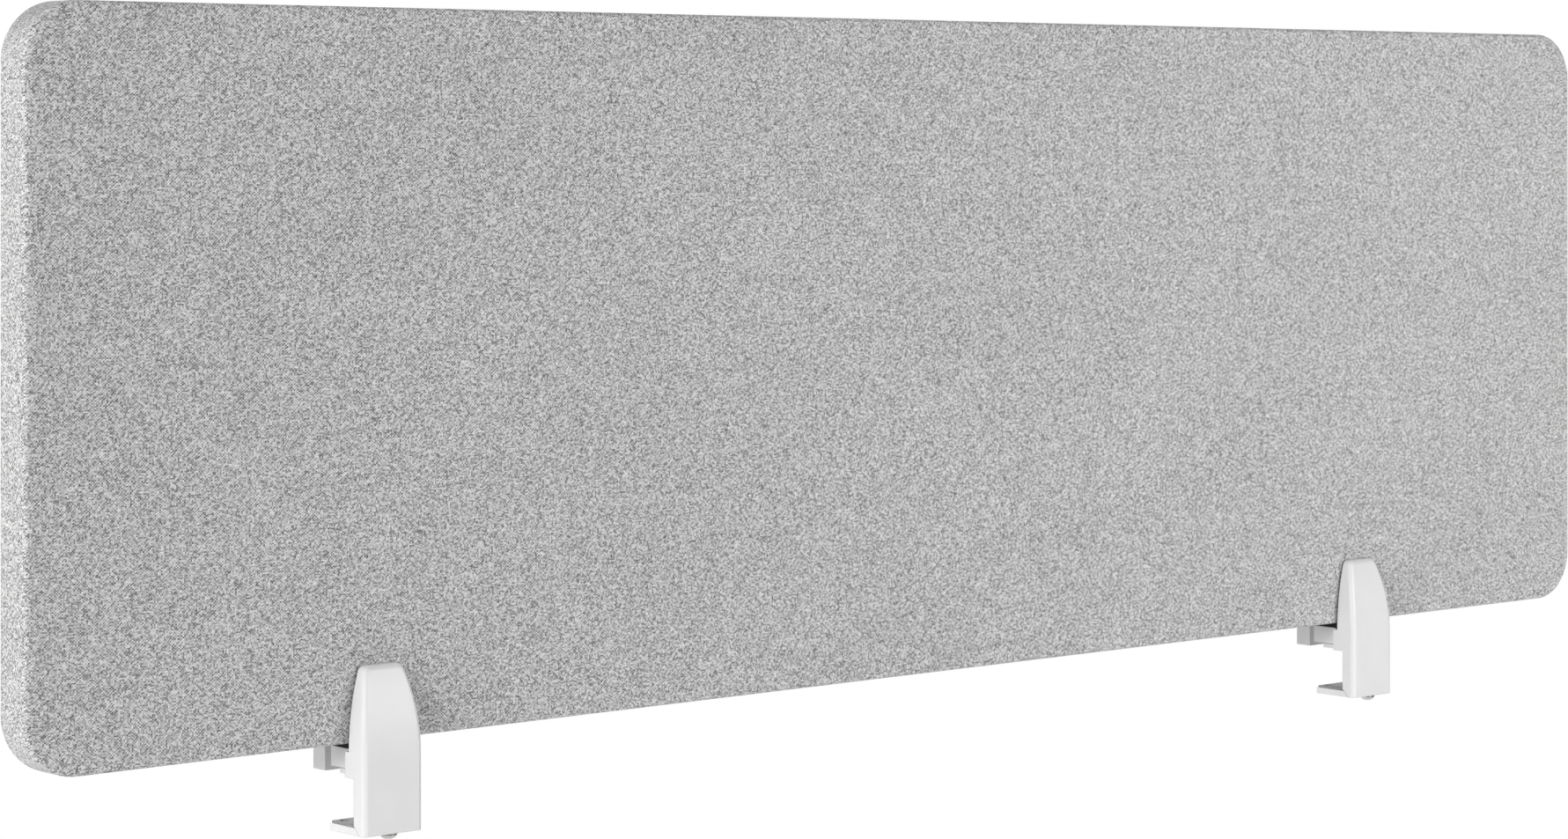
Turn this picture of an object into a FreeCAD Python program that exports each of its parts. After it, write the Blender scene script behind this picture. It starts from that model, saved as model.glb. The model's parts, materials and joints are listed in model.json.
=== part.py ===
import FreeCAD, Part
import math
import os
import re

import Sketcher

# Desk privacy panel: a padded cloth panel held over the front edge of a desk by two screw clamps.
# +Z is up, +Y points from the front of the panel to the rear, X runs along the panel.
# Y = 0 is the face of the clamp column that meets the desk edge and Z = 0 is the desk top.

DOC = FreeCAD.newDocument("desk_privacy_panel")

SIZES = [
    ("panel_width", "1250", "outside width of the covered panel"),
    ("panel_height", "400", "outside height of the covered panel"),
    ("panel_thickness", "26", "outside thickness of the covered panel"),
    ("panel_front", "5.7", "Y of the panel's front face"),
    ("panel_base", "18", "Z of the panel's lower edge"),
    ("corner_radius", "32", "radius of the four corners seen from the front"),
    ("edge_bevel", "2", "bevel of the cloth over the edges"),
    ("inner_bevel", "1.5", "bevel of the felt under the cloth's edges"),
    ("cloth", "0.8", "thickness of the cloth"),
    ("hem", "14", "width of the front cloth where it is turned onto the back"),
    ("hem_gap", "0.2", "gap between the hem and the rear cloth"),
    ("felt", "3.2", "thickness of the pressed felt boards"),
    ("stile", "45", "width of the frame members"),
    ("core_gap", "0.5", "gap round each core block"),
    ("left_bracket_x", "-407", "centre of the left clamp"),
    ("right_bracket_x", "395", "centre of the right clamp"),
    ("bracket_width", "39", "width of the clamp body"),
    ("column_depth", "9.7", "thickness of the column"),
    ("body_drop", "30.5", "underside of the clamp body below the desk top"),
    ("body_chamfer", "5.2", "chamfer on the rear lower corner of the column"),
    ("neck_depth", "8.25", "rear face of the neck behind the desk edge"),
    ("neck_height", "14", "top of the neck"),
    ("cheek_rear", "4.7", "Y of the face that carries the front liner"),
    ("cheek_top", "60.3", "top of both cheeks"),
    ("front_setback", "9", "how far the front face leans back at the top"),
    ("face_break", "10", "height at which the front face starts to lean back"),
    ("side_inset", "6.7", "how far each side of the front cheek draws in at the top"),
    ("side_break", "14", "height at which the sides start to draw in"),
    ("edge_cut", "1.9", "bevel of the cheeks' outer edges"),
    ("edge_ease", "0.7", "smaller bevel on both sides of that one"),
    ("top_round", "4.2", "rounding of the cheek's two top corners"),
    ("tongue_width", "26", "width of the tongue and of the arm above it"),
    ("tongue_end", "23.8", "rear end of the tongue"),
    ("tongue_height", "2.8", "thickness of the tongue"),
    ("tongue_round", "2", "rounding of the tongue's rear corners"),
    ("slot_half_wide", "13", "half width of the T slot behind its lips"),
    ("slot_half_mouth", "10", "half width of the T slot's mouth"),
    ("slot_depth", "8.2", "depth of the T slot"),
    ("slot_lip", "3", "thickness of the lips of the T slot"),
    ("slide_gap", "0.1", "clearance of the leg in the T slot"),
    ("screw_radius", "2.5", "radius of an M5 shank"),
    ("bore_radius", "2.55", "radius of the bores that the M5 shanks turn in"),
    ("jaw_screw_back", "4.7", "distance of the jaw screw's axis in front of the desk edge"),
    ("jaw_screw_length", "55", "length of the jaw screw under its head"),
    ("jaw_bore_top", "26.5", "top of the bore for the jaw screw"),
    ("jaw_head_radius", "4.75", "radius of the button head"),
    ("jaw_head_height", "2.75", "height of the button head"),
    ("jaw_head_rim", "0.6", "height of the button head's rim"),
    ("jaw_head_flat", "2.3", "radius of the button head's flat top"),
    ("jaw_head_bend", "3.8", "radius at which the button head's slope turns steeper"),
    ("jaw_head_bend_height", "1.95", "height at which the button head's slope turns steeper"),
    ("jaw_socket", "3", "socket of the jaw screw across flats"),
    ("jaw_socket_depth", "1.6", "depth of the jaw screw's socket"),
    ("jaw_washer_radius", "4.9", "outer radius of the jaw washer"),
    ("jaw_washer", "0.5", "thickness of the jaw washer"),
    ("washer_bore", "2.6", "bore radius of the washers"),
    ("ring_radius", "3.3", "outer radius of the retaining ring"),
    ("ring_height", "1.2", "height of the retaining ring"),
    ("nut_half", "4", "half of the square nut's width"),
    ("nut_height", "4", "height of the square nut"),
    ("nut_floor", "3", "floor of the pocket for the nut"),
    ("nut_pocket_half", "4.1", "half width of the pocket for the nut"),
    ("nut_pocket_height", "4.3", "height of the pocket for the nut"),
    ("clamp_spread", "9", "distance of each clamp screw from the middle of the clamp"),
    ("clamp_axis", "8.5", "height of the clamp screws above the desk top"),
    ("clamp_length", "40", "length of a clamp screw under its head"),
    ("clamp_head_radius", "4.25", "radius of a clamp screw's head"),
    ("clamp_head_height", "5", "height of a clamp screw's head"),
    ("clamp_socket", "4", "socket of a clamp screw across flats"),
    ("clamp_socket_depth", "2.6", "depth of a clamp screw's socket"),
    ("clamp_washer_radius", "5", "outer radius of a clamp washer"),
    ("clamp_washer", "1", "thickness of a clamp washer"),
    ("clamp_recess_radius", "5.2", "radius of the recess for a clamp screw's head"),
    ("clamp_recess_depth", "6.5", "depth of the recess for a clamp screw's head"),
    ("clamp_bore_depth", "10.8", "depth of the bores in the neck"),
    ("screw_chamfer", "0.6", "chamfer round a clamp screw's head"),
    ("arm_front", "10.65", "front end of the rear jaw's arm"),
    ("arm_floor", "3", "underside of the arm"),
    ("block_front", "31.9", "front face of the rear jaw's block"),
    ("block_rear", "45.3", "rear face of the rear jaw's block"),
    ("block_floor", "0.4", "underside of the rear jaw's block"),
    ("block_width", "33", "width of the rear jaw"),
    ("rear_cheek_front", "32.7", "Y of the face that carries the rear liner"),
    ("rear_cheek_top_rear", "37.9", "rear face of the rear cheek at its top"),
    ("rear_inset", "5.4", "how far each side of the rear cheek draws in at the top"),
    ("liner", "0.7", "thickness of the rubber liners"),
    ("liner_margin", "0.5", "distance of a liner inside the edges of its cheek"),
    ("liner_floor", "3.6", "thickness of the rubber under the panel"),
    ("floor_margin", "2.5", "distance of the front floor rubber inside the neck"),
    ("foot_gap", "25.5", "space between the foot pad and the desk top face of the clamp"),
    ("foot_rear", "23.9", "rear end of the foot behind the desk edge"),
    ("foot_height", "4", "thickness of the foot"),
    ("foot_joint", "0.2", "step between the foot's slope and the column's chamfer"),
    ("foot_round", "2", "rounding of the foot's rear corners"),
    ("leg_length", "26.5", "height of the leg inside the column"),
    ("pad_height", "1", "thickness of the grey foot pad"),
    ("pad_margin", "0.7", "distance of the foot pad inside the edges of the foot"),
    ("pad_front", "0.5", "front edge of the foot pad behind the desk edge"),
    ("pad_hole_radius", "3", "radius of the holes in the foot pad"),
    ("fix_hole_x", "12.5", "distance of each fixing hole from the middle of the foot"),
    ("fix_hole_y", "18.5", "distance of the fixing holes behind the desk edge"),
    ("fix_hole_radius", "2.25", "radius of the fixing holes"),
]

# Sizes that follow from the ones above.
DERIVED = [
    ("half_width", "=panel_width / 2"),
    ("panel_top", "=panel_base + panel_height"),
    ("panel_rear", "=panel_front + panel_thickness"),
    ("stack_half", "=panel_width / 2 - cloth"),
    ("stack_base", "=panel_base + cloth"),
    ("stack_top", "=panel_base + panel_height - cloth"),
    ("stack_front", "=panel_front + cloth"),
    ("stack_rear", "=panel_front + panel_thickness - cloth"),
    ("stack_depth", "=panel_thickness - 2 * cloth"),
    ("stack_corner", "=corner_radius - cloth"),
    ("frame_front", "=panel_front + cloth + felt"),
    ("frame_depth", "=panel_thickness - 2 * cloth - 2 * felt"),
    ("opening_half", "=panel_width / 2 - hem"),
    ("opening_base", "=panel_base + hem"),
    ("opening_top", "=panel_base + panel_height - hem"),
    ("opening_corner", "=corner_radius - hem"),
    ("opening_depth", "=panel_thickness - cloth"),
    ("patch_half", "=panel_width / 2 - hem - hem_gap"),
    ("patch_base", "=panel_base + hem + hem_gap"),
    ("patch_top", "=panel_base + panel_height - hem - hem_gap"),
    ("patch_corner", "=corner_radius - hem - hem_gap"),
    ("stile_inner", "=panel_width / 2 - cloth - stile"),
    ("rail_top", "=panel_base + cloth + stile"),
    ("rail_base", "=panel_base + panel_height - cloth - stile"),
    ("half_stile", "=stile / 2"),
    ("core_outer", "=panel_width / 2 - cloth - stile - core_gap"),
    ("core_inner", "=stile / 2 + core_gap"),
    ("core_base", "=panel_base + cloth + stile + core_gap"),
    ("core_top", "=panel_base + panel_height - cloth - stile - core_gap"),
    ("half_bracket", "=bracket_width / 2"),
    ("front_rise", "=cheek_top - face_break"),
    ("front_arc", "=(front_setback * front_setback + front_rise * front_rise) / (2 * front_setback)"),
    ("side_rise", "=cheek_top - side_break"),
    ("side_arc", "=(side_inset * side_inset + side_rise * side_rise) / (2 * side_inset)"),
    ("top_half", "=bracket_width / 2 - side_inset"),
    ("waste_half", "=bracket_width / 2 + 5"),
    ("waste_top", "=cheek_top + 5"),
    ("half_tongue", "=tongue_width / 2"),
    ("half_block", "=block_width / 2"),
    ("rear_setback", "=block_rear - rear_cheek_top_rear"),
    ("rear_arc", "=(rear_setback * rear_setback + front_rise * front_rise) / (2 * rear_setback)"),
    ("rear_side_arc", "=(rear_inset * rear_inset + side_rise * side_rise) / (2 * rear_inset)"),
    ("rear_top_half", "=block_width / 2 - rear_inset"),
    ("rear_waste_half", "=block_width / 2 + 5"),
    ("liner_half", "=bracket_width / 2 - liner_margin"),
    ("liner_top_half", "=bracket_width / 2 - side_inset - liner_margin"),
    ("liner_top", "=cheek_top - liner_margin"),
    ("liner_rise", "=cheek_top - liner_margin - side_break"),
    ("liner_arc", "=(side_inset * side_inset + liner_rise * liner_rise) / (2 * side_inset)"),
    ("rear_liner_half", "=block_width / 2 - liner_margin"),
    ("rear_liner_top_half", "=block_width / 2 - rear_inset - liner_margin"),
    ("rear_liner_arc", "=(rear_inset * rear_inset + liner_rise * liner_rise) / (2 * rear_inset)"),
    ("liner_corner", "=top_round - liner_margin"),
    ("floor_half", "=bracket_width / 2 - floor_margin"),
    ("arm_height", "=neck_height - arm_floor"),
    ("arm_bed", "=tongue_width / 2 - 0.2"),
    ("clamp_seat", "=block_rear - clamp_recess_depth"),
    ("clamp_head_seat", "=block_rear - clamp_recess_depth + clamp_washer"),
    ("leg_half_wide", "=slot_half_wide - slide_gap"),
    ("leg_half_mouth", "=slot_half_mouth - slide_gap"),
    ("leg_front", "=slot_depth - slide_gap"),
    ("leg_lip", "=slot_lip + slide_gap"),
    ("leg_rear", "=slide_gap / 2"),
    ("foot_top", "=foot_gap + pad_height"),
    ("foot_toe", "=body_chamfer - foot_joint"),
    ("foot_heel", "=body_chamfer - foot_joint - foot_height"),
    ("pad_half", "=bracket_width / 2 - pad_margin"),
    ("pad_rear", "=foot_rear - pad_margin"),
    ("jaw_head_seat", "=-body_drop - jaw_washer"),
    ("ring_base", "=leg_length - body_drop + slide_gap"),
    ("nut_base", "=nut_floor + slide_gap"),
]

SHEET = DOC.addObject("Spreadsheet::Sheet", "Sizes")
row = 0
for alias, number, note in SIZES:
    row += 1
    SHEET.set("A%d" % row, alias)
    SHEET.set("B%d" % row, number)
    SHEET.set("C%d" % row, note)
    SHEET.setAlias("B%d" % row, alias)
for alias, formula in DERIVED:
    row += 1
    SHEET.set("A%d" % row, alias)
    SHEET.set("B%d" % row, formula)
    SHEET.setAlias("B%d" % row, alias)
    DOC.recompute()
DOC.recompute()


def terms(text):
    """Split a sum such as "-stile+cloth" into (sign, alias) pairs."""
    return [(-1.0 if sign == "-" else 1.0, word) for sign, word in re.findall(r"([+-]?)([a-z_]+)", text)]


def number(text):
    """The present value of a sum of aliases."""
    if text == "0":
        return 0.0
    return sum(sign * float(SHEET.get(word)) for sign, word in terms(text))


def formula(text, flip=False):
    """The expression that keeps a property equal to a sum of aliases."""
    out = ""
    for sign, word in terms(text):
        out += ("-" if (sign < 0) != flip else "+") + "Sizes." + word
    return "0" + out


def plane(body, role):
    for feature in body.Origin.OriginFeatures:
        if feature.Role == role:
            return feature
    raise ValueError("no plane " + role)


def new_body(name):
    body = DOC.addObject("PartDesign::Body", name)
    body.Label = name
    return body


def new_sketch(body, name, role, level="0"):
    """A sketch on an origin plane, moved along +X, +Y or +Z by level."""
    sketch = body.newObject("Sketcher::SketchObject", body.Name + "_" + name)
    sketch.AttachmentSupport = [(plane(body, role), "")]
    sketch.MapMode = "FlatFace"
    if level != "0":
        sketch.setExpression("AttachmentOffset.Base.z", formula(level, flip=(role == "XZ_Plane")))
    return sketch


def hold(sketch, geometry, point, u, v):
    """Hold one point of a sketch at (u, v)."""
    for axis, kind, text in ((-2, "DistanceX", u), (-1, "DistanceY", v)):
        if text == "0":
            sketch.addConstraint(Sketcher.Constraint("PointOnObject", geometry, point, axis))
            continue
        mark = sketch.addConstraint(Sketcher.Constraint(kind, -1, 1, geometry, point, number(text)))
        sketch.setExpression("Constraints[%d]" % mark, formula(text))


def outline(sketch, corners):
    """A closed outline. Each corner is (u, v) or (u, v, radius, side), the last two giving the arc
    that leads to the next corner, bulging to the left (side 1) or to the right (side -1)."""
    pieces = []
    count = len(corners)
    for i in range(count):
        here = corners[i]
        after = corners[(i + 1) % count]
        a = FreeCAD.Vector(number(here[0]), number(here[1]), 0)
        b = FreeCAD.Vector(number(after[0]), number(after[1]), 0)
        if len(here) == 2:
            index = sketch.addGeometry(Part.LineSegment(a, b))
            pieces.append((index, 1, 2))
            continue
        radius = number(here[2])
        chord = b - a
        left = FreeCAD.Vector(-chord.y, chord.x, 0).normalize()
        reach = math.sqrt(max(0.0, radius * radius - chord.Length ** 2 / 4))
        centre = (a + b) * 0.5 - left * (reach * here[3])
        start, end, ends = (a, b, (1, 2)) if here[3] < 0 else (b, a, (2, 1))
        first = math.atan2(start.y - centre.y, start.x - centre.x)
        last = math.atan2(end.y - centre.y, end.x - centre.x)
        if last < first:
            last += 2 * math.pi
        ring = Part.Circle(centre, FreeCAD.Vector(0, 0, 1), radius)
        index = sketch.addGeometry(Part.ArcOfCircle(ring, first, last))
        pieces.append((index,) + ends)
        mark = sketch.addConstraint(Sketcher.Constraint("Radius", index, radius))
        sketch.setExpression("Constraints[%d]" % mark, formula(here[2]))
    for i in range(count):
        index, start, end = pieces[i]
        following = pieces[(i + 1) % count]
        sketch.addConstraint(Sketcher.Constraint("Coincident", index, end, following[0], following[1]))
        hold(sketch, index, start, corners[i][0], corners[i][1])


def circle(sketch, u, v, radius):
    size = number(radius)
    centre = FreeCAD.Vector(number(u), number(v), 0)
    index = sketch.addGeometry(Part.Circle(centre, FreeCAD.Vector(0, 0, 1), size))
    hold(sketch, index, 3, u, v)
    mark = sketch.addConstraint(Sketcher.Constraint("Radius", index, size))
    sketch.setExpression("Constraints[%d]" % mark, formula(radius))


def rectangle(sketch, low_u, high_u, low_v, high_v):
    outline(sketch, [(low_u, low_v), (high_u, low_v), (high_u, high_v), (low_u, high_v)])


def rounded(sketch, half, base, top, radius):
    """A rectangle from -half to half and from base to top, with rounded corners."""
    outline(sketch, [
        ("-%s+%s" % (half, radius), base),
        ("%s-%s" % (half, radius), base, radius, -1),
        (half, "%s+%s" % (base, radius)),
        (half, "%s-%s" % (top, radius), radius, -1),
        ("%s-%s" % (half, radius), top),
        ("-%s+%s" % (half, radius), top, radius, -1),
        ("-" + half, "%s-%s" % (top, radius)),
        ("-" + half, "%s+%s" % (base, radius), radius, -1),
    ])


def hexagon(sketch, flats):
    """A regular hexagon round the origin, with two corners on the horizontal axis."""
    reach = number(flats) / math.sqrt(3)
    turns = [i * math.pi / 3 for i in range(6)]
    corners = [FreeCAD.Vector(reach * math.cos(turn), reach * math.sin(turn), 0) for turn in turns]
    ring = sketch.addGeometry(Part.Circle(FreeCAD.Vector(), FreeCAD.Vector(0, 0, 1), reach), True)
    sides = [sketch.addGeometry(Part.LineSegment(corners[i], corners[(i + 1) % 6])) for i in range(6)]
    sketch.addConstraint(Sketcher.Constraint("Coincident", ring, 3, -1, 1))
    for i in range(6):
        sketch.addConstraint(Sketcher.Constraint("Coincident", sides[i], 2, sides[(i + 1) % 6], 1))
        sketch.addConstraint(Sketcher.Constraint("PointOnObject", sides[i], 1, ring))
        if i:
            sketch.addConstraint(Sketcher.Constraint("Equal", sides[0], sides[i]))
    sketch.addConstraint(Sketcher.Constraint("PointOnObject", sides[0], 1, -1))
    mark = sketch.addConstraint(Sketcher.Constraint("Radius", ring, reach))
    sketch.setExpression("Constraints[%d]" % mark, "%s / sqrt(3)" % formula(flats))


def pad(body, sketch, length, both=False, back=False):
    """Add a prism. It grows along the plane's normal, or against it when back is set."""
    feature = body.newObject("PartDesign::Pad", sketch.Name + "_pad")
    feature.Profile = sketch
    feature.setExpression("Length", formula(length))
    if both:
        feature.SideType = "Symmetric"
    feature.Reversed = back
    body.Tip = feature
    return settled(feature)


def pocket(body, sketch, length=None, both=False, back=False):
    """Remove a prism, through everything when no length is given. It is an error to remove nothing."""
    before = body.Shape.Volume
    feature = body.newObject("PartDesign::Pocket", sketch.Name + "_pocket")
    feature.Profile = sketch
    if length is None:
        feature.Type = "ThroughAll"
    else:
        feature.setExpression("Length", formula(length))
    if both:
        feature.SideType = "Symmetric"
    feature.Reversed = back
    body.Tip = feature
    settled(feature)
    if not body.Shape.Volume < before - 1e-3:
        raise ValueError("nothing was removed by " + feature.Name)
    return feature


def edges(body, test):
    """The names of the edges whose start, middle and end all pass a test."""
    found = []
    for i, edge in enumerate(body.Shape.Edges):
        first, last = edge.ParameterRange
        points = [edge.valueAt(first + (last - first) * t) for t in (0.02, 0.5, 0.98)]
        if all(test(p) for p in points):
            found.append("Edge%d" % (i + 1))
    if not found:
        raise ValueError("no edges found on " + body.Name)
    return found


def dress(body, kind, names, size, label):
    """Round ("Fillet") or bevel ("Chamfer") some edges of the body's last feature."""
    base = body.Tip
    feature = body.newObject("PartDesign::" + kind, "%s_%s" % (body.Name, label))
    feature.Base = (base, names)
    feature.setExpression("Radius" if kind == "Fillet" else "Size", formula(size))
    body.Tip = feature
    return settled(feature)


def place(body, x="0", y="0", z="0"):
    for axis, text in (("x", x), ("y", y), ("z", z)):
        if text != "0":
            body.setExpression("Placement.Base." + axis, formula(text))
    DOC.recompute()
    return body


def settled(feature):
    """Recompute and stop at the first feature that fails."""
    DOC.recompute()
    if "Invalid" in feature.State or "Error" in feature.State or feature.Shape.isNull():
        raise ValueError("%s failed: %s" % (feature.Name, feature.State))
    return feature


def near(a, b, slack=0.02):
    return abs(a - b) < slack


# The covered panel.


def plate(name, half, base, top, radius, front, depth):
    """A flat plate with rounded corners, standing across the panel."""
    body = new_body(name)
    sketch = new_sketch(body, "face", "XZ_Plane", front)
    rounded(sketch, half, base, top, radius)
    pad(body, sketch, depth, back=True)
    return body


def cloth_front():
    """The cloth over the front and round all four edges, turned onto the back as a hem."""
    body = plate("cloth_front", "half_width", "panel_base", "panel_top", "corner_radius", "panel_front",
                 "panel_thickness")
    opening = new_sketch(body, "opening", "XZ_Plane", "panel_rear")
    rounded(opening, "opening_half", "opening_base", "opening_top", "opening_corner")
    pocket(body, opening, "opening_depth", back=True)
    inside = new_sketch(body, "inside", "XZ_Plane", "stack_rear")
    rounded(inside, "stack_half", "stack_base", "stack_top", "stack_corner")
    pocket(body, inside, "stack_depth", back=True)
    deep, shallow = number("stack_front"), number("stack_rear")
    reach = number("stack_half") - number("stack_corner")
    low, high = number("stack_base"), number("stack_top")

    def rim(p):
        level = near(p.y, deep) or near(p.y, shallow)
        beyond = abs(p.x) > number("opening_half") + 1 or p.z < low + 12 or p.z > high - 12
        outer = abs(p.x) > reach - 0.1 and beyond
        straight = near(p.z, low) or near(p.z, high)
        return level and (straight or outer)

    dress(body, "Chamfer", edges(body, rim), "inner_bevel", "inside_edges")
    front, rear = number("panel_front"), number("panel_rear")
    half, base, top = number("opening_half") + 1, number("opening_base"), number("opening_top")

    def outside(p):
        beyond = abs(p.x) > half or p.z < base - 1 or p.z > top + 1
        return near(p.y, front) or (near(p.y, rear) and beyond)

    dress(body, "Chamfer", edges(body, outside), "edge_bevel", "edges")
    return body


def felt(name, front, outer_level):
    """A pressed felt board whose outer edge is bevelled to carry the cloth."""
    body = plate(name, "stack_half", "stack_base", "stack_top", "stack_corner", front, "felt")
    level = number(outer_level)
    dress(body, "Chamfer", edges(body, lambda p: near(p.y, level)), "inner_bevel", "edge")
    return body


def stile(name, side):
    """An upright frame member with both outer corners rounded. side is "-" on the left."""
    other = "" if side == "-" else "-"
    turn = -1 if side == "" else 1
    body = new_body(name)
    sketch = new_sketch(body, "face", "XZ_Plane", "frame_front")
    outer = side + "stack_half"
    corner = side + "stack_half" + ("+" if other == "" else "-") + "stack_corner"
    outline(sketch, [
        (side + "stile_inner", "stack_base"),
        (corner, "stack_base", "stack_corner", turn),
        (outer, "stack_base+stack_corner"),
        (outer, "stack_top-stack_corner", "stack_corner", turn),
        (corner, "stack_top"),
        (side + "stile_inner", "stack_top"),
    ])
    pad(body, sketch, "frame_depth", back=True)


def block(name, low_x, high_x, low_z, high_z):
    """A rectangular member of the frame or its filling."""
    body = new_body(name)
    sketch = new_sketch(body, "face", "XZ_Plane", "frame_front")
    rectangle(sketch, low_x, high_x, low_z, high_z)
    pad(body, sketch, "frame_depth", back=True)


def panel():
    cloth_front()
    plate("cloth_rear", "patch_half", "patch_base", "patch_top", "patch_corner", "stack_rear", "cloth")
    felt("felt_front", "stack_front", "stack_front")
    felt("felt_rear", "frame_front+frame_depth", "stack_rear")
    stile("frame_left_stile", "-")
    stile("frame_right_stile", "")
    block("frame_bottom_rail", "-stile_inner", "stile_inner", "stack_base", "rail_top")
    block("frame_top_rail", "-stile_inner", "stile_inner", "rail_base", "stack_top")
    block("frame_centre_stile", "-half_stile", "half_stile", "rail_top", "rail_base")
    block("core_left", "-core_outer", "-core_inner", "core_base", "core_top")
    block("core_right", "core_inner", "core_outer", "core_base", "core_top")


# The clamps. Every part is drawn round X = 0 and then moved along the panel.


def draw_in(body, name, half, top_half, arc, waste):
    """Draw in both sides of a cheek along an arc that starts at side_break."""
    sketch = new_sketch(body, name, "XZ_Plane")
    outline(sketch, [
        (half, "side_break", arc, -1),
        (top_half, "cheek_top"),
        (top_half, "waste_top"),
        (waste, "waste_top"),
        (waste, "side_break"),
    ])
    outline(sketch, [
        ("-" + half, "side_break", arc, 1),
        ("-" + top_half, "cheek_top"),
        ("-" + top_half, "waste_top"),
        ("-" + waste, "waste_top"),
        ("-" + waste, "side_break"),
    ])
    pocket(body, sketch, both=True)


def leaning(z, face, setback, arc, sign):
    """Y of a cheek's outer face at height z."""
    rise = z - number("face_break")
    if rise <= 0:
        return face
    radius = number(arc)
    return face + sign * (radius - math.sqrt(radius * radius - rise * rise))


def round_cheek(body, face, setback, arc, sign, least):
    """Round a cheek's top corners, then bevel its whole outer rim and ease both sides of the bevel."""
    top = number("cheek_top")
    dress(body, "Fillet", edges(body, lambda p: near(p.z, top) and abs(p.x) > least and near(
        abs(p.x), number("top_half") if sign > 0 else number("rear_top_half"))), "top_round", "top_corners")

    def rim(p):
        on_face = near(p.y, leaning(p.z, face, setback, arc, sign), 0.05)
        return on_face and (abs(p.x) > least - 4 or near(p.z, top)) and p.z > -number("body_drop") + 0.2

    before = [face.CenterOfMass for face in body.Shape.Faces]
    dress(body, "Chamfer", edges(body, rim), "edge_cut", "rim")
    apart = 2 * number("edge_ease")
    bevels = [
        face for face in body.Shape.Faces
        if all((face.CenterOfMass - middle).Length > apart for middle in before)
    ]
    sides = [edge for face in bevels for edge in face.Edges if edge.Length > 2 * number("edge_cut")]
    names = ["Edge%d" % (i + 1) for i, edge in enumerate(body.Shape.Edges) if any(map(edge.isSame, sides))]
    dress(body, "Chamfer", names, "edge_ease", "rim_ease")


def bracket(side):
    """The cast clamp body: cheek, column, neck and the tongue that lies on the desk."""
    body = new_body(side + "_bracket")
    profile = new_sketch(body, "profile", "YZ_Plane")
    outline(profile, [
        ("-column_depth", "-body_drop"),
        ("-body_chamfer", "-body_drop"),
        ("0", "-body_drop+body_chamfer"),
        ("0", "0"),
        ("neck_depth", "0"),
        ("neck_depth", "neck_height"),
        ("cheek_rear", "neck_height"),
        ("cheek_rear", "cheek_top"),
        ("-column_depth+front_setback", "cheek_top", "front_arc", -1),
        ("-column_depth", "face_break"),
    ])
    pad(body, profile, "bracket_width", both=True)
    draw_in(body, "sides", "half_bracket", "top_half", "side_arc", "waste_half")
    round_cheek(body, -number("column_depth"), "front_setback", "front_arc", 1, 12)

    tongue = new_sketch(body, "tongue", "XY_Plane")
    rectangle(tongue, "-half_tongue", "half_tongue", "cheek_rear", "tongue_end")
    pad(body, tongue, "tongue_height")
    end = number("tongue_end")
    dress(body, "Fillet", edges(body, lambda p: near(p.y, end) and near(abs(p.x), number("half_tongue"))),
          "tongue_round", "tongue_end")

    slot = new_sketch(body, "slot", "XY_Plane")
    outline(slot, [
        ("-slot_half_wide", "-slot_depth"),
        ("slot_half_wide", "-slot_depth"),
        ("slot_half_wide", "-slot_lip"),
        ("slot_half_mouth", "-slot_lip"),
        ("slot_half_mouth", "slot_lip"),
        ("-slot_half_mouth", "slot_lip"),
        ("-slot_half_mouth", "-slot_lip"),
        ("-slot_half_wide", "-slot_lip"),
    ])
    pocket(body, slot)

    nut = new_sketch(body, "nut_pocket", "XY_Plane", "nut_floor")
    rectangle(nut, "-nut_pocket_half", "nut_pocket_half", "-jaw_screw_back-nut_pocket_half",
              "neck_depth+slot_lip")
    pocket(body, nut, "nut_pocket_height", back=True)
    bore = new_sketch(body, "jaw_bore", "XY_Plane")
    circle(bore, "0", "-jaw_screw_back", "bore_radius")
    pocket(body, bore, "jaw_bore_top", back=True)
    bores = new_sketch(body, "clamp_bores", "XZ_Plane", "neck_depth")
    circle(bores, "clamp_spread", "clamp_axis", "bore_radius")
    circle(bores, "-clamp_spread", "clamp_axis", "bore_radius")
    pocket(body, bores, "clamp_bore_depth", back=True)
    return body


def cheek_sheet(body, half, top_half, arc, level):
    """A rubber sheet in the outline of a cheek."""
    sketch = new_sketch(body, "sheet", "XZ_Plane", level)
    outline(sketch, [
        ("-" + half, "side_break"),
        (half, "side_break", arc, -1),
        (top_half, "liner_top"),
        ("-" + top_half, "liner_top", arc, -1),
    ])
    pad(body, sketch, "liner", back=True)
    top = number("liner_top")
    dress(body, "Fillet", edges(body, lambda p: near(p.z, top) and near(abs(p.x), number(top_half))),
          "liner_corner", "corners")


def front_liner(side):
    body = new_body(side + "_front_liner")
    cheek_sheet(body, "liner_half", "liner_top_half", "liner_arc", "cheek_rear")
    floor = new_sketch(body, "floor", "XY_Plane", "neck_height")
    rectangle(floor, "-floor_half", "floor_half", "cheek_rear", "neck_depth")
    pad(body, floor, "liner_floor")
    return body


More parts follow.
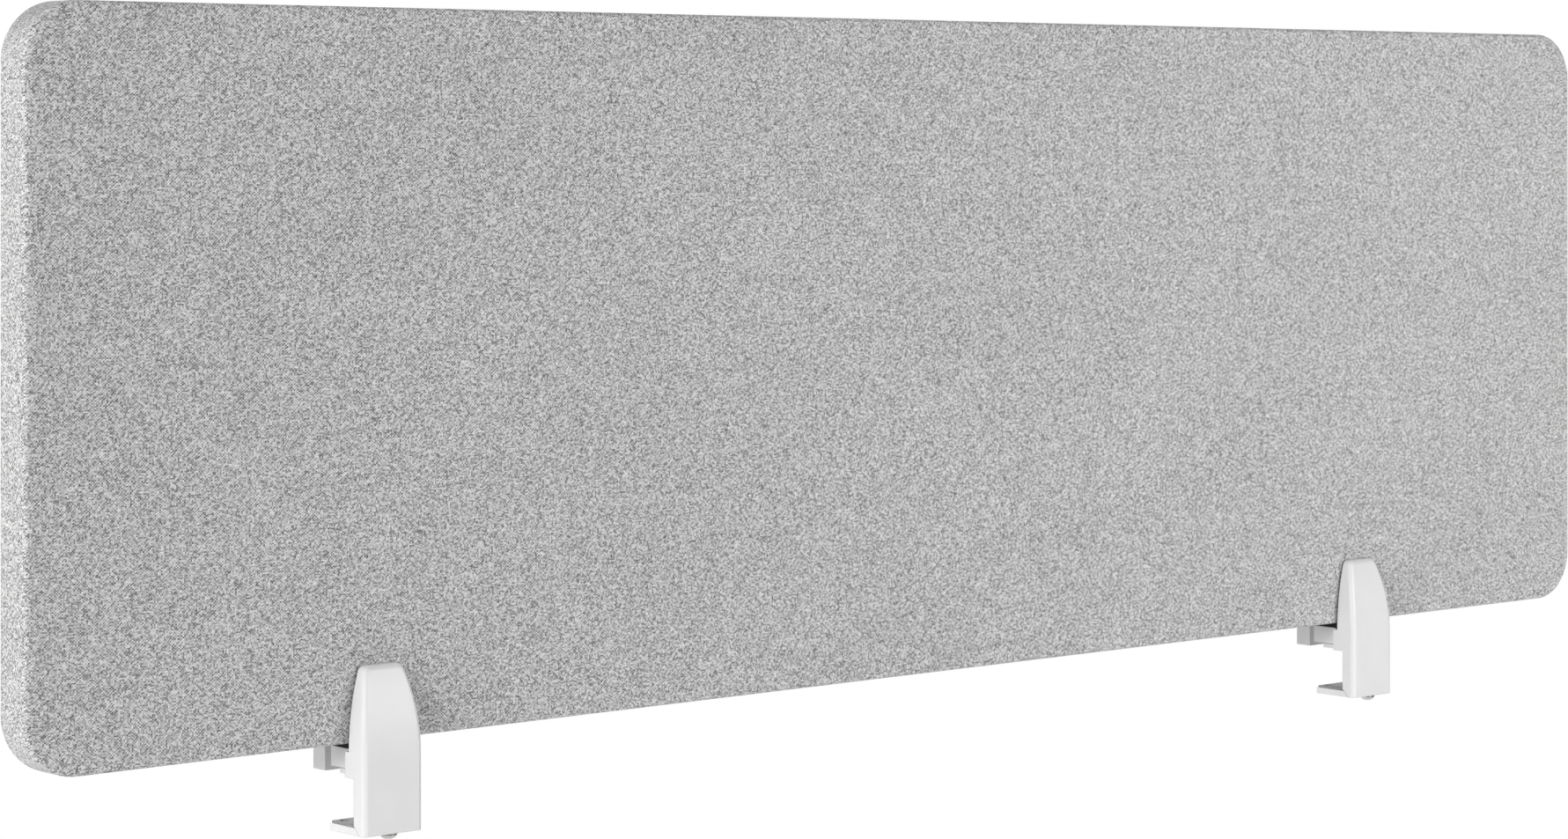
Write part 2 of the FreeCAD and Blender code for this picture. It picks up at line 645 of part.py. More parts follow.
def rear_jaw(side):
    """The sliding jaw: an arm over the tongue, a block and the rear cheek."""
    body = new_body(side + "_rear_jaw")
    profile = new_sketch(body, "profile", "YZ_Plane")
    outline(profile, [
        ("block_front", "block_floor"),
        ("block_rear", "block_floor"),
        ("block_rear", "face_break", "rear_arc", -1),
        ("rear_cheek_top_rear", "cheek_top"),
        ("rear_cheek_front", "cheek_top"),
        ("rear_cheek_front", "neck_height"),
        ("block_front", "neck_height"),
    ])
    pad(body, profile, "block_width", both=True)
    draw_in(body, "sides", "half_block", "rear_top_half", "rear_side_arc", "rear_waste_half")
    round_cheek(body, number("block_rear"), "rear_setback", "rear_arc", -1, 10)
    arm = new_sketch(body, "arm", "XY_Plane", "arm_floor")
    rectangle(arm, "-half_tongue", "half_tongue", "arm_front", "block_front+liner")
    pad(body, arm, "arm_height")
    bores = new_sketch(body, "clamp_bores", "XZ_Plane", "block_rear")
    circle(bores, "clamp_spread", "clamp_axis", "bore_radius")
    circle(bores, "-clamp_spread", "clamp_axis", "bore_radius")
    pocket(body, bores, back=True)
    recesses = new_sketch(body, "recesses", "XZ_Plane", "block_rear")
    circle(recesses, "clamp_spread", "clamp_axis", "clamp_recess_radius")
    circle(recesses, "-clamp_spread", "clamp_axis", "clamp_recess_radius")
    pocket(body, recesses, "clamp_recess_depth", back=True)
    return body


def rear_liner(side):
    body = new_body(side + "_rear_liner")
    cheek_sheet(body, "rear_liner_half", "rear_liner_top_half", "rear_liner_arc", "rear_cheek_front-liner")
    floor = new_sketch(body, "floor", "XY_Plane", "neck_height")
    rectangle(floor, "-arm_bed", "arm_bed", "arm_front", "rear_cheek_front")
    pad(body, floor, "liner_floor")
    return body


def clamp_screw(name):
    """An M5 socket head screw along Y, its head at the rear."""
    body = new_body(name)
    head = new_sketch(body, "head", "XZ_Plane", "clamp_head_seat")
    circle(head, "0", "0", "clamp_head_radius")
    pad(body, head, "clamp_head_height", back=True)
    shank = new_sketch(body, "shank", "XZ_Plane", "clamp_head_seat")
    circle(shank, "0", "0", "screw_radius")
    pad(body, shank, "clamp_length")
    crown = number("clamp_head_seat") + number("clamp_head_height")
    dress(body, "Chamfer", edges(body, lambda p: near(p.y, crown)), "screw_chamfer", "crown")
    socket = new_sketch(body, "socket", "XZ_Plane", "clamp_head_seat+clamp_head_height")
    hexagon(socket, "clamp_socket")
    pocket(body, socket, "clamp_socket_depth", back=True)
    return body


def washer(name, role, level, outer, thickness):
    body = new_body(name)
    sketch = new_sketch(body, "ring", role, level)
    circle(sketch, "0", "0", outer)
    circle(sketch, "0", "0", "washer_bore")
    pad(body, sketch, thickness, back=(role == "XZ_Plane"))
    return body


def lower_jaw(side):
    """The foot under the desk and the T-shaped leg that runs in the column."""
    body = new_body(side + "_lower_jaw")
    profile = new_sketch(body, "profile", "YZ_Plane")
    outline(profile, [
        ("-foot_toe", "-body_drop"),
        ("foot_rear", "-body_drop"),
        ("foot_rear", "-foot_top"),
        ("-foot_heel", "-foot_top"),
    ])
    pad(body, profile, "bracket_width", both=True)
    rear, half = number("foot_rear"), number("half_bracket")
    upright = edges(body, lambda p: near(p.y, rear) and near(abs(p.x), half))
    dress(body, "Fillet", upright, "foot_round", "corners")
    leg = new_sketch(body, "leg", "XY_Plane", "-body_drop")
    outline(leg, [
        ("-leg_half_wide", "-leg_front"),
        ("leg_half_wide", "-leg_front"),
        ("leg_half_wide", "-leg_lip"),
        ("leg_half_mouth", "-leg_lip"),
        ("leg_half_mouth", "-leg_rear"),
        ("-leg_half_mouth", "-leg_rear"),
        ("-leg_half_mouth", "-leg_lip"),
        ("-leg_half_wide", "-leg_lip"),
    ])
    pad(body, leg, "leg_length")
    holes = new_sketch(body, "holes", "XY_Plane")
    circle(holes, "0", "-jaw_screw_back", "bore_radius")
    circle(holes, "fix_hole_x", "fix_hole_y", "fix_hole_radius")
    circle(holes, "-fix_hole_x", "fix_hole_y", "fix_hole_radius")
    pocket(body, holes)
    return body


def foot_pad(side):
    body = new_body(side + "_foot_pad")
    sketch = new_sketch(body, "face", "XY_Plane", "-foot_top")
    rectangle(sketch, "-pad_half", "pad_half", "pad_front", "pad_rear")
    circle(sketch, "fix_hole_x", "fix_hole_y", "pad_hole_radius")
    circle(sketch, "-fix_hole_x", "fix_hole_y", "pad_hole_radius")
    pad(body, sketch, "pad_height")
    rear, half = number("pad_rear"), number("pad_half")
    upright = edges(body, lambda p: near(p.y, rear) and near(abs(p.x), half))
    dress(body, "Fillet", upright, "foot_round", "corners")
    return body


def jaw_screw(side):
    """An M5 button head screw that stands upright, its head below the clamp."""
    body = new_body(side + "_jaw_screw")
    profile = new_sketch(body, "profile", "XZ_Plane")
    outline(profile, [
        ("0", "-jaw_head_height"),
        ("jaw_head_flat", "-jaw_head_height"),
        ("jaw_head_bend", "-jaw_head_bend_height"),
        ("jaw_head_radius", "-jaw_head_rim"),
        ("jaw_head_radius", "0"),
        ("screw_radius", "0"),
        ("screw_radius", "jaw_screw_length"),
        ("0", "jaw_screw_length"),
    ])
    turned = body.newObject("PartDesign::Revolution", body.Name + "_turned")
    turned.Profile = profile
    turned.ReferenceAxis = (profile, ["V_Axis"])
    turned.Angle = 360
    body.Tip = turned
    DOC.recompute()
    socket = new_sketch(body, "socket", "XY_Plane", "-jaw_head_height")
    hexagon(socket, "jaw_socket")
    pocket(body, socket, "jaw_socket_depth", back=True)
    return body


def jaw_ring(side):
    """The ring pressed on the jaw screw above the leg."""
    body = new_body(side + "_jaw_ring")
    sketch = new_sketch(body, "ring", "XY_Plane", "ring_base")
    circle(sketch, "0", "0", "ring_radius")
    circle(sketch, "0", "0", "screw_radius")
    pad(body, sketch, "ring_height")
    return body


def jaw_nut(side):
    body = new_body(side + "_jaw_nut")
    sketch = new_sketch(body, "face", "XY_Plane", "nut_base")
    rectangle(sketch, "-nut_half", "nut_half", "-nut_half", "nut_half")
    circle(sketch, "0", "0", "bore_radius")
    pad(body, sketch, "nut_height")
    return body


def clamp(side):
    x = side + "_bracket_x"
    for build in (bracket, front_liner, rear_jaw, rear_liner, lower_jaw, foot_pad):
        place(build(side), x)
    for hand, sign in (("outer", "-"), ("inner", "+")):
        across = x + sign + "clamp_spread"
        place(clamp_screw("%s_clamp_screw_%s" % (side, hand)), across, z="clamp_axis")
        ring = washer("%s_clamp_washer_%s" % (side, hand), "XZ_Plane", "clamp_seat", "clamp_washer_radius",
                      "clamp_washer")
        place(ring, across, z="clamp_axis")
    place(jaw_screw(side), x, "-jaw_screw_back", "jaw_head_seat")
    place(jaw_ring(side), x, "-jaw_screw_back")
    place(jaw_nut(side), x, "-jaw_screw_back")
    washer_body = washer(side + "_jaw_washer", "XY_Plane", "jaw_head_seat", "jaw_washer_radius", "jaw_washer")
    place(washer_body, x, "-jaw_screw_back")


panel()
clamp("left")
clamp("right")
DOC.recompute()

for item in DOC.Objects:
    if "Invalid" in item.State or "Error" in item.State:
        raise ValueError("%s: %s" % (item.Name, item.State))

bodies = [item for item in DOC.Objects if item.TypeId == "PartDesign::Body"]
for body in bodies:
    if body.Shape.isNull() or not body.Shape.isValid() or len(body.Shape.Solids) != 1:
        raise ValueError(body.Name + " is not one valid solid")

os.makedirs("parts", exist_ok=True)
for body in bodies:
    body.Shape.exportStep("parts/%s.step" % body.Label)
print("%d parts" % len(bodies))
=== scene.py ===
import json
import math

import bmesh
import bpy
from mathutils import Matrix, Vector, noise


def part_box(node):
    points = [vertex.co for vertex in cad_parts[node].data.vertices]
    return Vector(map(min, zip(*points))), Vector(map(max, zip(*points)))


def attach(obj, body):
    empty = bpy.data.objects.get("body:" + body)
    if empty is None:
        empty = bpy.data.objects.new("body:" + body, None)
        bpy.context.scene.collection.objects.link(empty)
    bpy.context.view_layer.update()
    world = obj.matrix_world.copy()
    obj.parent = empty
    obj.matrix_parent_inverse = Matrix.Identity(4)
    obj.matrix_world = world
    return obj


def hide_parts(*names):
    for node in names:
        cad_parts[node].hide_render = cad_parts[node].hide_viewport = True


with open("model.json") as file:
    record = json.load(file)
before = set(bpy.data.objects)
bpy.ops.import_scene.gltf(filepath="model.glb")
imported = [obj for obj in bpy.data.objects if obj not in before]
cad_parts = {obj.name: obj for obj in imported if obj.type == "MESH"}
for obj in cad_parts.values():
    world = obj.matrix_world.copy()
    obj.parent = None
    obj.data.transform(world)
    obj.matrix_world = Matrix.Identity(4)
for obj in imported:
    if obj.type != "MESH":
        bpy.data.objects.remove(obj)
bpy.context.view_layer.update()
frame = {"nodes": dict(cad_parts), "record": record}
NODES = frame["nodes"]

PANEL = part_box("cloth_front")
LOW, HIGH = Vector(PANEL[0]), Vector(PANEL[1])
WIDTH = HIGH.x - LOW.x
HEIGHT = HIGH.z - LOW.z
MID_Z = (LOW.z + HIGH.z) / 2
CORNER = 0.032  # radius of the panel's corners seen from the front
EDGE = 0.003  # radius with which the cloth rolls over the edges
HEM = 0.014  # width of the cloth turned onto the back
CLOTH = 0.0008  # thickness of the cloth
SEAM = 0.0002  # gap between the hem and the rear cloth
GRID = 0.006  # spacing of the sheets' vertices away from the corners
CORNER_STEPS = 8
ROLL_STEPS = 6


# Node helpers.


class Tree:
    """A short way to build a material's node tree."""

    def __init__(self, tree):
        self.tree = tree
        tree.nodes.clear()

    def add(self, kind, **values):
        node = self.tree.nodes.new(kind)
        for name, value in values.items():
            setattr(node, name, value)
        return node

    def link(self, source, target):
        self.tree.links.new(source, target)

    def feed(self, socket, value):
        if hasattr(value, "is_output"):
            self.link(value, socket)
        elif value is not None:
            socket.default_value = value

    def math(self, operation, a, b=None, c=None, clamp=False):
        node = self.add("ShaderNodeMath", operation=operation, use_clamp=clamp)
        for socket, value in zip(node.inputs, (a, b, c)):
            self.feed(socket, value)
        return node.outputs[0]

    def mix(self, factor, a, b, blend="MIX"):
        node = self.add("ShaderNodeMix", data_type="RGBA", blend_type=blend)
        self.feed(node.inputs[0], factor)
        self.feed(node.inputs[6], a)
        self.feed(node.inputs[7], b)
        return node.outputs[2]

    def join(self, x, y, z=0.0):
        node = self.add("ShaderNodeCombineXYZ")
        for socket, value in zip(node.inputs, (x, y, z)):
            self.feed(socket, value)
        return node.outputs[0]

    def split(self, vector):
        node = self.add("ShaderNodeSeparateXYZ")
        self.link(vector, node.inputs[0])
        return node.outputs

    def noise(self, vector, scale, detail=2.0, rough=0.5):
        node = self.add("ShaderNodeTexNoise", noise_dimensions="3D")
        self.feed(node.inputs["Vector"], vector)
        node.inputs["Scale"].default_value = scale
        node.inputs["Detail"].default_value = detail
        node.inputs["Roughness"].default_value = rough
        return node.outputs["Fac"]

    def span(self, value, low, high, out_low=0.0, out_high=1.0):
        node = self.add("ShaderNodeMapRange")
        self.feed(node.inputs[0], value)
        for socket, number in zip(node.inputs[1:5], (low, high, out_low, out_high)):
            socket.default_value = number
        return node.outputs[0]

    def bump(self, height, strength, distance, normal=None):
        node = self.add("ShaderNodeBump")
        node.inputs["Strength"].default_value = strength
        node.inputs["Distance"].default_value = distance
        self.link(height, node.inputs["Height"])
        if normal is not None:
            self.link(normal, node.inputs["Normal"])
        return node.outputs[0]

    def tint(self, shader, colour, tone):
        """Base colour: colour times the grey tone."""
        self.link(self.mix(1.0, colour, self.join(tone, tone, tone), "MULTIPLY"), shader.inputs["Base Color"])

    def by_ray(self, lit, seen, out):
        """Sends lit to every ray but the camera's, which gets seen."""
        choice = self.add("ShaderNodeMixShader")
        self.link(self.add("ShaderNodeLightPath").outputs["Is Camera Ray"], choice.inputs[0])
        self.link(lit.outputs[0], choice.inputs[1])
        self.link(seen.outputs[0], choice.inputs[2])
        self.link(choice.outputs[0], out.inputs[0])


def material(name, roughness=0.5, metallic=0.0, **sockets):
    made = bpy.data.materials.new(name)
    made.use_nodes = True
    tree = Tree(made.node_tree)
    out = tree.add("ShaderNodeOutputMaterial")
    shader = tree.add("ShaderNodeBsdfPrincipled")
    tree.link(shader.outputs[0], out.inputs[0])
    shader.inputs["Roughness"].default_value = roughness
    shader.inputs["Metallic"].default_value = metallic
    for socket, value in sockets.items():
        shader.inputs[socket.replace("_", " ")].default_value = value
    return made, tree, shader


def object_space(tree):
    return tree.add("ShaderNodeTexCoord").outputs["Object"]


# Materials.

WARP = 0.00096  # pitch of the upright yarns
WEFT = 0.000815  # pitch of the level yarns
ROW_STEP = 7.31  # keeps the noise of neighbouring yarns apart


def woven(name, shades, seed):
    """Melange plain weave. Fibres of several greys are spun together, so every yarn changes shade along its run.
    The weave's checker is also painted into the colour as shade: lighter floats, darker gaps between the yarns.
    """
    made, t, shader = material(name, roughness=0.92, Sheen_Weight=0.2, Sheen_Roughness=0.5,
                               Specular_IOR_Level=0.15)
    uv = t.add("ShaderNodeUVMap", uv_map="weave").outputs[0]
    u, v, _ = t.split(uv)
    wander = t.math("MULTIPLY_ADD", t.noise(uv, 38.0, 2.0), 0.003, -0.0015)
    across = t.math("DIVIDE", t.math("ADD", u, wander), WARP)
    along = t.math("DIVIDE", t.math("SUBTRACT", v, wander), WEFT)
    warp, weft = t.math("FLOOR", across), t.math("FLOOR", along)

    def wave(value):
        return t.math("COSINE", t.math("MULTIPLY", value, math.pi))

    # The weave pattern serves as the bump's height, and below it is also painted shade in the colour: darker gaps
    # between the yarns, with one diagonal stronger as side light would make it.
    lean = wave(t.math("SUBTRACT", across, along))
    back = wave(t.math("ADD", across, along))
    weave = t.math("SUBTRACT", t.math("MULTIPLY", lean, 0.7), t.math("MULTIPLY", back, 0.3))
    over = t.span(weave, -0.4, 0.4)

    def yarn(number, length, run, offset, share):
        """Shade of one yarn: slubs that change with run, and shorter flecks. Share is the slubs' part."""
        row = t.math("MULTIPLY_ADD", number, ROW_STEP, offset)
        slub = t.noise(t.join(t.math("MULTIPLY", length, run), row, seed), 1.0, 1.0, 0.6)
        fleck = t.noise(t.join(t.math("MULTIPLY", length, 0.9), row, seed + 5.0), 1.0, 1.0, 0.6)
        return t.math("MULTIPLY_ADD", slub, share, t.math("MULTIPLY", fleck, 1.0 - share))

    pick = t.add("ShaderNodeMix", data_type="FLOAT")
    t.link(over, pick.inputs[0])
    t.link(yarn(weft, across, 0.35, 41.0, 0.75), pick.inputs[2])
    t.link(yarn(warp, along, 0.4, 3.0, 0.4), pick.inputs[3])
    cell = t.add("ShaderNodeTexWhiteNoise", noise_dimensions="3D")
    t.link(t.join(warp, weft, seed), cell.inputs["Vector"])
    shade = t.span(pick.outputs[0], 0.33, 0.67, 0.06, 0.56)
    shade = t.math("MULTIPLY_ADD", cell.outputs["Value"], 0.46, shade)
    # Painted shade: the weave pattern lightens the floats and darkens the gaps between the yarns.
    shade = t.math("MULTIPLY_ADD", weave, 0.14, shade)
    fibre = t.noise(uv, 1500.0, 2.0, 0.6)
    shade = t.math("ADD", shade, t.span(fibre, 0.25, 0.75, -0.22, 0.1), clamp=True)
    ramp = t.add("ShaderNodeValToRGB")
    t.link(shade, ramp.inputs[0])
    stops = ramp.color_ramp.elements
    for i, (place, grey) in enumerate(shades):
        stop = stops[i] if i < 2 else stops.new(place)
        stop.position = place
        stop.color = (grey, grey, grey, 1)
    cloud = t.noise(uv, 7.0, 3.0, 0.55)
    tone = t.span(cloud, 0.25, 0.75, 0.965, 1.035)
    t.tint(shader, ramp.outputs[0], tone)
    rise = t.math("MULTIPLY_ADD", weave, 0.5, t.math("MULTIPLY", cell.outputs["Value"], 0.35))
    rise = t.math("MULTIPLY_ADD", fibre, 0.2, rise)
    t.link(t.bump(rise, 0.5, 0.00022), shader.inputs["Normal"])
    return made


def powder_coat(name, colour):
    """White baked powder on a casting: a fine orange peel over a slow drift in gloss."""
    made, t, shader = material(name, roughness=0.42, Specular_IOR_Level=0.45, Coat_Weight=0.12,
                               Coat_Roughness=0.3)
    place = object_space(t)
    peel = t.noise(place, 1500.0, 2.0, 0.55)
    drift = t.noise(place, 60.0, 3.0, 0.5)
    tone = t.span(drift, 0.3, 0.7, 0.985, 1.012)
    t.tint(shader, (*colour, 1), tone)
    t.link(t.span(drift, 0.3, 0.7, 0.38, 0.47), shader.inputs["Roughness"])
    soft = t.add("ShaderNodeBevel", samples=6)
    soft.inputs["Radius"].default_value = 0.0008
    t.link(t.bump(peel, 0.16, 0.00006, soft.outputs[0]), shader.inputs["Normal"])
    return made


def rubber(name, colour, grain):
    """Moulded rubber with a fine grain and a trace of dust, lighter and darker in random patches."""
    made, t, shader = material(name, roughness=0.75, Specular_IOR_Level=0.3)
    place = object_space(t)
    pits = t.add("ShaderNodeTexVoronoi", feature="F1")
    t.link(place, pits.inputs["Vector"])
    pits.inputs["Scale"].default_value = grain
    dust = t.noise(place, 140.0, 4.0, 0.6)
    tone = t.span(dust, 0.3, 0.75, 0.82, 1.25)
    t.tint(shader, (*colour, 1), tone)
    t.link(t.span(dust, 0.3, 0.7, 0.68, 0.86), shader.inputs["Roughness"])
    t.link(t.bump(pits.outputs["Distance"], 0.35, 0.00012), shader.inputs["Normal"])
    return made


def plated(name, colour, roughness):
    """Plated or blackened steel with faint smears and scratches."""
    made, t, shader = material(name, roughness=roughness, metallic=1.0)
    place = object_space(t)
    smear = t.noise(place, 900.0, 3.0, 0.6)
    tone = t.span(smear, 0.3, 0.7, 0.9, 1.06)
    t.tint(shader, (*colour, 1), tone)
    t.link(t.span(smear, 0.3, 0.7, roughness * 0.8, roughness * 1.3), shader.inputs["Roughness"])
    t.link(t.bump(t.noise(place, 2600.0, 2.0, 0.7), 0.12, 0.00004), shader.inputs["Normal"])
    return made


def softwood(name):
    """Planed softwood with growth rings."""
    made, t, shader = material(name, roughness=0.6)
    place = object_space(t)
    x, y, z = t.split(place)
    rings = t.add("ShaderNodeTexWave", wave_type="BANDS", bands_direction="Y")
    t.link(t.join(t.math("MULTIPLY", x, 0.06), y, t.math("MULTIPLY", z, 0.06)), rings.inputs["Vector"])
    rings.inputs["Scale"].default_value = 60.0
    rings.inputs["Distortion"].default_value = 6.0
    colour = t.mix(rings.outputs["Fac"], (0.62, 0.45, 0.28, 1), (0.74, 0.58, 0.38, 1))
    t.link(colour, shader.inputs["Base Color"])
    t.link(t.bump(rings.outputs["Fac"], 0.2, 0.0002), shader.inputs["Normal"])
    return made


def fibrous(name, dark, light, scale):
    """Pressed or loose fibre, as in felt and filling."""
    made, t, shader = material(name, roughness=0.95, Sheen_Weight=0.2, Sheen_Roughness=0.6)
    place = object_space(t)
    mat = t.noise(place, scale, 6.0, 0.75)
    t.link(t.mix(t.span(mat, 0.3, 0.7), (*dark, 1), (*light, 1)), shader.inputs["Base Color"])
    t.link(t.bump(mat, 0.6, 0.0006), shader.inputs["Normal"])
    return made


CLOTH_LOOK = woven("cloth_look", ((0.0, 0.05), (0.28, 0.2), (0.55, 0.51), (1.0, 0.83)), 2.0)
LOOKS = {
    "cast_white": powder_coat("cast_look", (0.69, 0.69, 0.69)),
    "rubber_black": rubber("black_rubber_look", (0.012, 0.012, 0.012), 2200.0),
    "rubber_grey": rubber("grey_rubber_look", (0.25, 0.25, 0.25), 1600.0),
    "nickel_steel": plated("nickel_look", (0.62, 0.61, 0.59), 0.22),
    "zinc_steel": plated("zinc_look", (0.68, 0.7, 0.74), 0.34),
    "spring_steel": plated("spring_look", (0.1, 0.1, 0.105), 0.4),
    "frame_wood": softwood("wood_look"),
    "felt": fibrous("felt_look", (0.22, 0.22, 0.23), (0.36, 0.36, 0.37), 1400.0),
    "core": fibrous("core_look", (0.58, 0.54, 0.44), (0.8, 0.77, 0.68), 500.0),
    "cloth": CLOTH_LOOK,
}


def dress_node(name, look):
    mesh = NODES[name].data
    if not mesh.materials:
        mesh.materials.append(look)
    for i in range(len(mesh.materials)):
        mesh.materials[i] = look


for entry in frame["record"]["subparts"]:
    dress_node(entry["node"], LOOKS[entry["material_slot"]])


# Cloth pieces.


def new_object(name, data):
    made = bpy.data.objects.new(name, data)
    bpy.context.scene.collection.objects.link(made)
    return made


def new_piece(name, mesh_maker, look, body):
    mesh = bpy.data.meshes.new(name)
    bm = bmesh.new()
    mesh_maker(bm)
    bmesh.ops.recalc_face_normals(bm, faces=bm.faces)
    bm.to_mesh(mesh)
    bm.free()
    for polygon in mesh.polygons:
        polygon.use_smooth = True
    piece = new_object(name, mesh)
    mesh.materials.append(look)
    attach(piece, body)
    return piece


def corner_map(x, z, half_w, half_h, radius):
    """Moves a point of a rectangle into a rectangle with round corners, and gives the outward direction there."""
    ax, az = abs(x) - (half_w - radius), abs(z) - (half_h - radius)
    sx, sz = math.copysign(1.0, x), math.copysign(1.0, z)
    if ax <= 0 or az <= 0:
        if abs(abs(x) - half_w) < abs(abs(z) - half_h):
            return x, z, Vector((sx, 0.0))
        return x, z, Vector((0.0, sz))
    reach = max(ax, az)
    turn = math.pi / 4 * (az / ax) if ax >= az else math.pi / 2 - math.pi / 4 * (ax / az)
    out = Vector((math.cos(turn) * sx, math.sin(turn) * sz))
    return sx * (half_w - radius) + out.x * reach, sz * (half_h - radius) + out.y * reach, out


def steps(half, radius):
    """Positions from -half to half, fine inside the corners."""
    fine = [half - radius + radius * i / CORNER_STEPS for i in range(CORNER_STEPS + 1)]
    count = max(2, round(2 * (half - radius) / GRID))
    middle = [-(half - radius) + 2 * (half - radius) * i / count for i in range(1, count)]
    return [-value for value in reversed(fine)] + middle + fine


def sheet_with_rim(bm, half_w, half_h, radius, level, wave, profile):
    """A flat sheet at Y = level and a rim that follows profile, a list of (outward, Y, length of cloth used)."""
    uv = bm.loops.layers.uv.new("weave")
    flat = {}
    xs, zs = steps(half_w, radius), steps(half_h, radius)
    grid = []
    for z in zs:
        row = []
        for x in xs:
            px, pz, out = corner_map(x, z, half_w, half_h, radius)
            vert = bm.verts.new((px, level + wave(px, pz), MID_Z + pz))
            flat[vert] = (px, pz, out)
            row.append(vert)
        grid.append(row)
    for j in range(len(zs) - 1):
        for i in range(len(xs) - 1):
            bm.faces.new((grid[j][i], grid[j][i + 1], grid[j + 1][i + 1], grid[j + 1][i]))
    rim = grid[0][:-1] + [row[-1] for row in grid[:-1]] + grid[-1][:0:-1] + [row[0] for row in grid[:0:-1]]
    where = {vert: (flat[vert][0], flat[vert][1]) for vert in flat}
    last = rim
    for outward, y, used in profile:
        ring = []
        for vert in rim:
            px, pz, out = flat[vert]
            edge = Vector((px, pz))
            if abs(px) > half_w - radius - 1e-9 and abs(pz) > half_h - radius - 1e-9:
                centre = Vector((math.copysign(half_w - radius, px), math.copysign(half_h - radius, pz)))
                arm = edge - centre
                out = arm.normalized() if arm.length > 1e-9 else out
            spot = edge + out * outward
            twin = bm.verts.new((spot.x, y + pucker(spot.x, spot.y, y), MID_Z + spot.y))
            where[twin] = (px + out.x * used, pz + out.y * used)
            ring.append(twin)
        for i in range(len(rim)):
            k = (i + 1) % len(rim)
            bm.faces.new((last[i], last[k], ring[k], ring[i]))
        last = ring
    for face in bm.faces:
        for loop in face.loops:
            loop[uv].uv = where[loop.vert]


def pucker(x, z, y):
    """Slight unevenness of pulled cloth on the panel's edges, in Y."""
    if not LOW.y + 0.004 < y < HIGH.y - 0.004:
        return 0.0
    return 0.00012 * noise.noise(Vector((x * 40, y * 60, z * 40)))


def front_wave(x, z):
    """The front lies flat on the felt, with the faint unevenness of stretched cloth."""
    reach = min(1.0, max(0.0, (WIDTH / 2 - abs(x)) / 0.02)) * min(1.0, max(0.0, (HEIGHT / 2 - abs(z)) / 0.02))
    slow = noise.noise(Vector((x * 5, 3.1, z * 5))) * 0.00025
    fine = noise.noise(Vector((x * 24, 7.7, z * 24))) * 0.00006
    return reach * (abs(slow) + fine + 0.00006)


def make_front(bm):
    """The front cloth: the face, the roll over each edge, the edge itself and the hem on the back."""
    inner_w, inner_h = WIDTH / 2 - EDGE, HEIGHT / 2 - EDGE
    profile = []
    quarter = EDGE * math.pi / 2
    for i in range(1, ROLL_STEPS + 1):
        turn = math.pi / 2 * i / ROLL_STEPS
        profile.append((EDGE * math.sin(turn), LOW.y + EDGE * (1 - math.cos(turn)), quarter * i / ROLL_STEPS))
    side = HIGH.y - LOW.y - 2 * EDGE
    for i in range(1, ROLL_STEPS):
        gone = side * i / ROLL_STEPS
        profile.append((EDGE, LOW.y + EDGE + gone, quarter + gone))
    used = quarter + side
    for i in range(ROLL_STEPS + 1):
        turn = math.pi / 2 * i / ROLL_STEPS
        level = HIGH.y - EDGE + EDGE * math.sin(turn)
        profile.append((EDGE * math.cos(turn), level, used + quarter * i / ROLL_STEPS))
    used += quarter
    hem = HEM - EDGE
    for share in (0.25, 0.5, 0.75, 0.92):
        profile.append((-hem * share, HIGH.y, used + hem * share))
    profile.append((-hem, HIGH.y - CLOTH * 0.35, used + hem))
    profile.append((-hem + 0.0002, HIGH.y - CLOTH, used + hem + CLOTH))
    sheet_with_rim(bm, inner_w, inner_h, CORNER - EDGE, LOW.y, front_wave, profile)


front = new_piece("front_cloth", make_front, CLOTH_LOOK, "panel")
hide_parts("cloth_front")


def make_rear(bm):
    """The rear cloth, with its rim turned in against the hem."""
    margin = HEM + SEAM
    half_w, half_h = WIDTH / 2 - margin, HEIGHT / 2 - margin
    lift = 0.0005

    def wave(x, z):
        edge = min((half_w - abs(x)) / 0.006, (half_h - abs(z)) / 0.006, 1.0)
        slow = noise.noise(Vector((x * 5, 9.1, z * 5))) * 0.0002
        return -max(0.0, edge) * (abs(slow) + 0.00005)

    profile = [(lift * 0.5, HIGH.y - 0.0001, lift), (lift * 0.55, HIGH.y - CLOTH * 0.9, CLOTH + lift)]
    sheet_with_rim(bm, half_w - lift, half_h - lift, CORNER - margin - lift, HIGH.y, wave, profile)


rear = new_piece("rear_cloth", make_rear, CLOTH_LOOK, "panel")
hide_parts("cloth_rear")


# Camera, floor and light.

FLOOR_LEVEL = -0.75
FLOOR_RADIUS = 40
AIM = (0, 0, 0.2)  # a point low on the panel's middle


def aim(thing, target):
    thing.rotation_euler = (Vector(target) - thing.location).to_track_quat("-Z", "Y").to_euler()


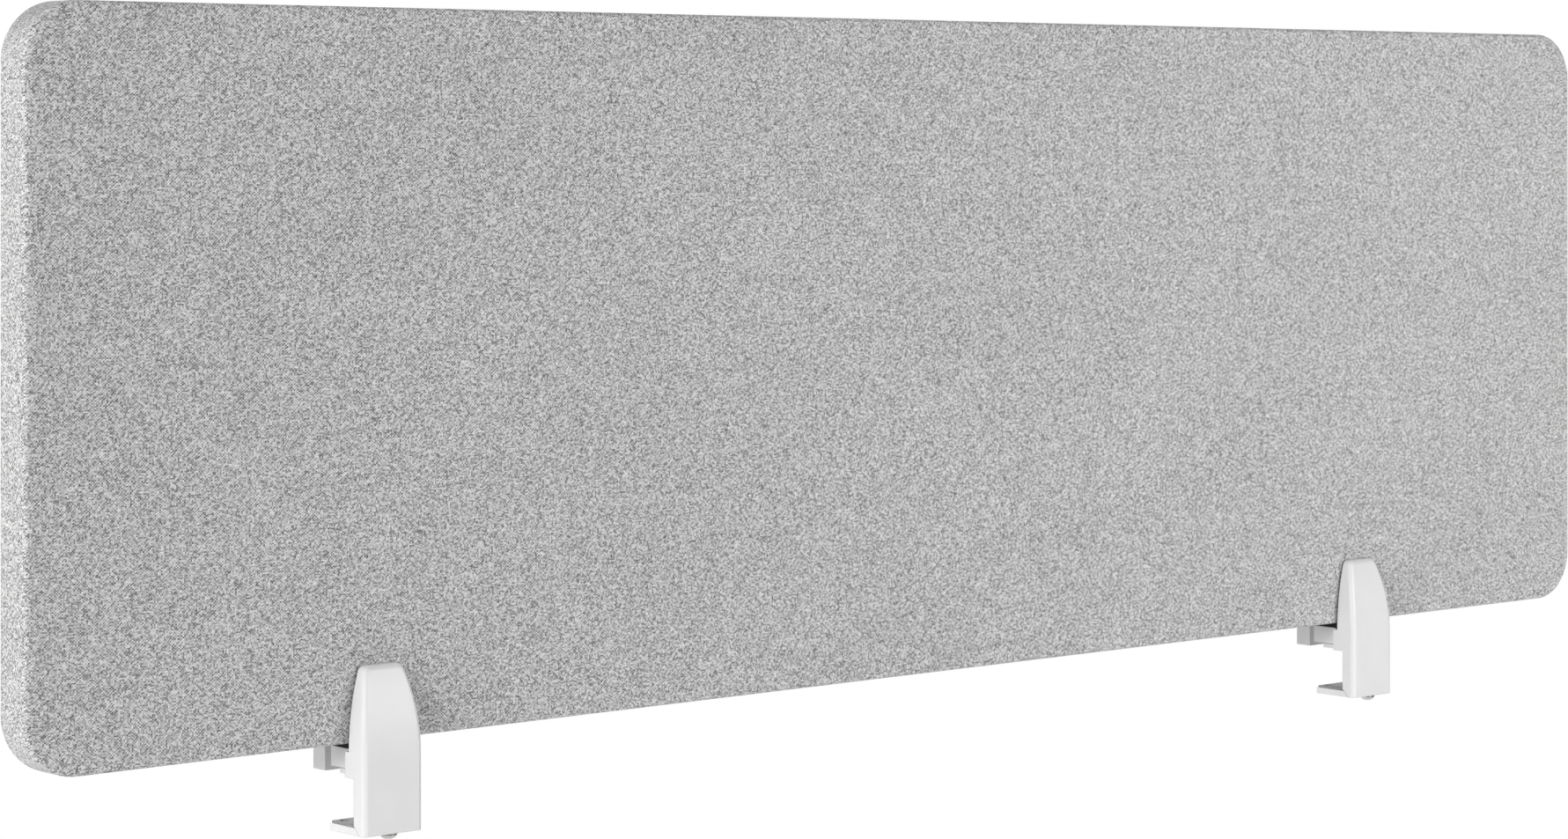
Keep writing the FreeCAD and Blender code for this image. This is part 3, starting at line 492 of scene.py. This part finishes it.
camera_data = bpy.data.cameras.new("camera")
camera = new_object("camera", camera_data)
camera.location = (-1.648, -1.7779, 0.3525)
camera.rotation_euler = (math.radians(90), 0, math.radians(-40.682))
camera_data.lens = 91.07
camera_data.sensor_width = 36
camera_data.shift_y = -0.1865
camera_data.clip_end = 200
bpy.context.scene.camera = camera

floor_mesh = bpy.data.meshes.new("floor")
bm = bmesh.new()
bmesh.ops.create_circle(bm, cap_ends=True, radius=FLOOR_RADIUS, segments=96)
bm.to_mesh(floor_mesh)
bm.free()
floor = new_object("floor", floor_mesh)
floor.location.z = FLOOR_LEVEL
floor_look, floor_tree, floor_shader = material("floor_look", roughness=0.9, Specular_IOR_Level=0.0,
                                                Base_Color=(0.9, 0.9, 0.9, 1))
backdrop = floor_tree.add("ShaderNodeEmission")
backdrop.inputs["Strength"].default_value = 1.0
floor_tree.by_ray(floor_shader, backdrop, floor_tree.tree.nodes["Material Output"])
floor_mesh.materials.append(floor_look)


def softbox(name, place, target, side, energy):
    data = bpy.data.lights.new(name, "AREA")
    data.shape = "RECTANGLE"
    data.size = data.size_y = side
    data.energy = energy
    light = new_object(name, data)
    light.location = place
    aim(light, target)


softbox("left_high_softbox", (-3.6, -1.2, 1.3), AIM, 1.4, 97)
softbox("left_low_softbox", (-4.0, 0.4, 0.6), AIM, 1.6, 55)
softbox("low_softbox", (0.6, -2.4, 0.3), (0.3, 0, 0.2), 1.2, 13)
softbox("right_softbox", (0.95, -1.7, 0.7), (0.4, 0, 0.2), 1.0, 21)
softbox("rear_softbox", (1.6, 2.6, 1.5), AIM, 1.8, 100)

world = bpy.data.worlds.new("studio")
bpy.context.scene.world = world
world.use_nodes = True
sky = Tree(world.node_tree)
sky_out = sky.add("ShaderNodeOutputWorld")
glow = sky.add("ShaderNodeBackground")
glow.inputs["Color"].default_value = (1, 1, 1, 1)
glow.inputs["Strength"].default_value = 0.04
seen = sky.add("ShaderNodeBackground")
seen.inputs["Color"].default_value = (1, 1, 1, 1)
seen.inputs["Strength"].default_value = 1.0
sky.by_ray(glow, seen, sky_out)
bpy.context.scene.view_settings.view_transform = "Standard"
